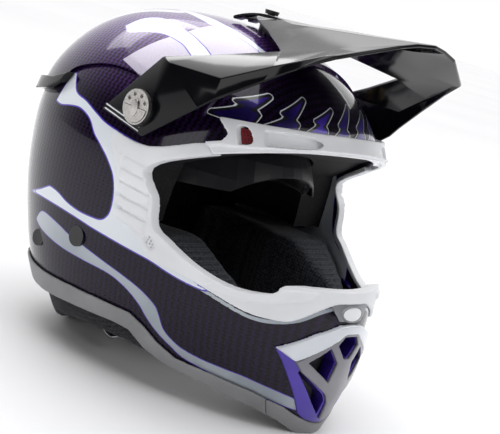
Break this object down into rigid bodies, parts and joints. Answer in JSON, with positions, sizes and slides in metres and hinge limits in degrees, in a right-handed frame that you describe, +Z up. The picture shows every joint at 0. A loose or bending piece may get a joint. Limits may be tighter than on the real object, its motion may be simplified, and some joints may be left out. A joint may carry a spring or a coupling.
{
  "type": "motocross helmet",
  "caption": "Full-face off-road helmet: carbon shell with tilting peak, open eyeport with trim, chin-bar vent, foam and slip liners, snap-out cheek pads and chin strap.",
  "frame": {"origin": "middle of the helmet's box at table height, where its chin rim and neck roll rest", "axes": "+Z up, -Y the way the wearer faces, -X the wearer's right"},
  "size_m": [0.2576, 0.3302, 0.2935],
  "materials": {
    "carbon_shell": "clear-coated carbon weave with white, silver and purple livery",
    "grey_rim": "satin",
    "white_trim": "matt moulded rubber",
    "brow_plastic": "satin",
    "red_mesh": "fine mesh",
    "violet_metallic": "metallic lacquer",
    "vent_frame": "satin grey",
    "filter_foam": "open-cell foam",
    "badge": "plain",
    "gloss_black": "gloss",
    "black_plastic": "satin",
    "impact_foam": "expanded bead foam",
    "slip_plastic": "thin satin sheet",
    "anchor_rubber": "matt",
    "lining_fabric": "brushed knit",
    "cheek_fabric": "mesh knit",
    "red_webbing": "woven tape",
    "roll_fabric": "heather knit",
    "visor_black": "high gloss",
    "brass_insert": "machined",
    "screw_metal": "satin machined",
    "post_rubber": "matt",
    "steel": "satin",
    "webbing": "woven",
    "snap_red": "gloss"
  },
  "bodies": {
    "helmet": {"shell": "carbon_shell", "base_trim": "grey_rim", "chin_base_trim": "grey_rim", "eyeport_trim": "white_trim", "brow_housing": "brow_plastic", "brow_vent_mesh": "red_mesh", "chin_vent_body": "violet_metallic", "chin_vent_frame": "vent_frame", "chin_vent_filter": "filter_foam", "badge_plate": "badge", "rear_spoiler": "gloss_black", "rear_vent_left": "black_plastic", "rear_vent_right": "black_plastic", "side_plugs": "black_plastic", "rear_plugs": "black_plastic", "impact_liner": "impact_foam", "chin_liner": "impact_foam", "cheek_sockets": "black_plastic", "neck_roll": "roll_fabric", "visor_insert_left": "brass_insert", "visor_insert_right": "brass_insert", "visor_post": "black_plastic", "center_washer": "post_rubber", "strap_anchor_left": "steel", "strap_anchor_right": "steel", "chin_strap_left": "webbing", "chin_strap_right": "webbing", "strap_sleeve": "lining_fabric", "strap_snap": "snap_red"},
    "slip": {"slip_liner": "slip_plastic", "slip_anchors": "anchor_rubber", "comfort_liner": "lining_fabric"},
    "visor": {"visor": "visor_black"},
    "screw_left": {"visor_screw_left": "screw_metal"},
    "screw_right": {"visor_screw_right": "screw_metal"},
    "flap_left": {"screw_flap_left": "screw_metal"},
    "flap_right": {"screw_flap_right": "screw_metal"},
    "center_screw": {"center_screw": "black_plastic"},
    "cheek_left": {"cheek_pad_left": "cheek_fabric", "cheek_plate_left": "black_plastic", "release_tab_left": "red_webbing"},
    "cheek_right": {"cheek_pad_right": "cheek_fabric", "cheek_plate_right": "black_plastic", "release_tab_right": "red_webbing"},
    "d_rings": {"d_ring_front": "steel", "d_ring_back": "steel"}
  },
  "joints": [
    {"name": "visor_tilt", "type": "hinge", "parent": "helmet", "child": "visor", "pos_m": [0, -0.021, 0.197], "axis": [1, 0, 0], "range_deg": [0, 16]},
    {"name": "screw_left_turn", "type": "hinge", "parent": "helmet", "child": "screw_left", "pos_m": [0.12, -0.021, 0.197], "axis": [1, 0, 0], "continuous": true},
    {"name": "screw_right_turn", "type": "hinge", "parent": "helmet", "child": "screw_right", "pos_m": [-0.12, -0.021, 0.197], "axis": [-1, 0, 0], "continuous": true},
    {"name": "flap_left_fold", "type": "hinge", "parent": "screw_left", "child": "flap_left", "pos_m": [0.1288, -0.021, 0.1967], "axis": [0, -1, 0], "range_deg": [0, 90]},
    {"name": "flap_right_fold", "type": "hinge", "parent": "screw_right", "child": "flap_right", "pos_m": [-0.1288, -0.021, 0.1967], "axis": [0, 1, 0], "range_deg": [0, 90]},
    {"name": "center_screw_turn", "type": "hinge", "parent": "helmet", "child": "center_screw", "pos_m": [0, -0.01, 0.28], "axis": [0, 0, 1], "continuous": true},
    {"name": "slip_yaw", "type": "hinge", "parent": "helmet", "child": "slip", "pos_m": [0, 0.018, 0.125], "axis": [0, 0, 1], "range_deg": [-5, 5], "stiffness_Nm_per_rad": 4},
    {"name": "cheek_left_unsnap", "type": "slide", "parent": "helmet", "child": "cheek_left", "axis": [-1, 0, 0], "range_m": [0, 0.025]},
    {"name": "cheek_right_unsnap", "type": "slide", "parent": "helmet", "child": "cheek_right", "axis": [1, 0, 0], "range_m": [0, 0.025]},
    {"name": "d_ring_swing", "type": "hinge", "parent": "helmet", "child": "d_rings", "pos_m": [-0.056, 0.009, 0.022], "axis": [0, 1, 0], "range_deg": [-45, 45]}
  ]
}
